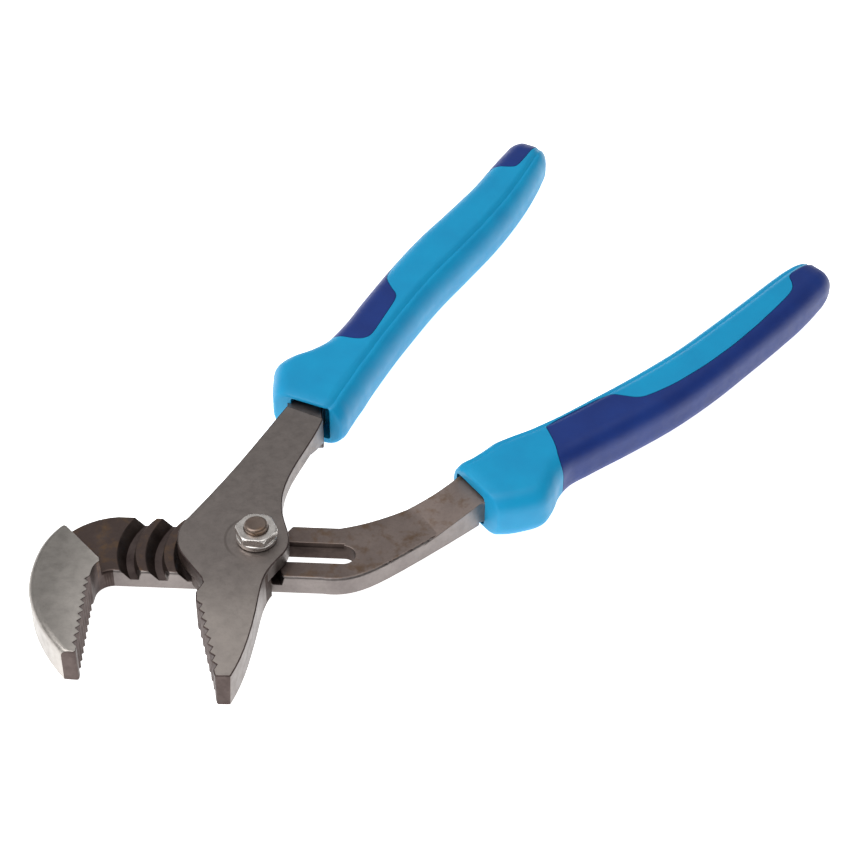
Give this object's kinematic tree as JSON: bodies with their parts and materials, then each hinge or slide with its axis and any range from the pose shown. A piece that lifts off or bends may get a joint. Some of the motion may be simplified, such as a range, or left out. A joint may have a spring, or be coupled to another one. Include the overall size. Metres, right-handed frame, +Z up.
{
  "type": "tongue and groove pliers",
  "caption": "Slip-jaw tongue and groove pliers with a toothed fixed jaw, a toothed swinging jaw, a slotted grooved bar, a pivot bolt and two-colour soft grips.",
  "frame": {"origin": "middle of the tool's outline in plan, at the height of the surface it lies on", "axes": "+Z up through the thin way of the tool, along the pivot bolt; +X along the slot, away from the fixed jaw; +Y towards the handles"},
  "size_m": [0.2654, 0.2852, 0.0229],
  "materials": {
    "ground_steel": "satin ground",
    "forged_steel": "dark forged and tempered",
    "plated_steel": "bright plated",
    "light_grip": "satin, light blue",
    "dark_grip": "satin, dark blue"
  },
  "bodies": {
    "groove_side": {"groove_lever": "forged_steel", "groove_lever_grip": "light_grip", "groove_lever_overmould": "dark_grip"},
    "pivot": {"pivot_bolt": "plated_steel", "pivot_washer": "plated_steel", "pivot_nut": "plated_steel"},
    "tongue_side": {"tongue_lever": "ground_steel", "tongue_lever_grip": "light_grip", "tongue_lever_overmould": "dark_grip"}
  },
  "joints": [
    {"name": "pivot_slide", "type": "slide", "parent": "groove_side", "child": "pivot", "axis": [1, 0, 0], "range_m": [-0.0186, 0.0279]},
    {"name": "jaw_hinge", "type": "hinge", "parent": "pivot", "child": "tongue_side", "pos_m": [-0.06162, -0.08241, 0.01301], "axis": [0, 0, 1], "range_deg": [-20, 10]}
  ]
}
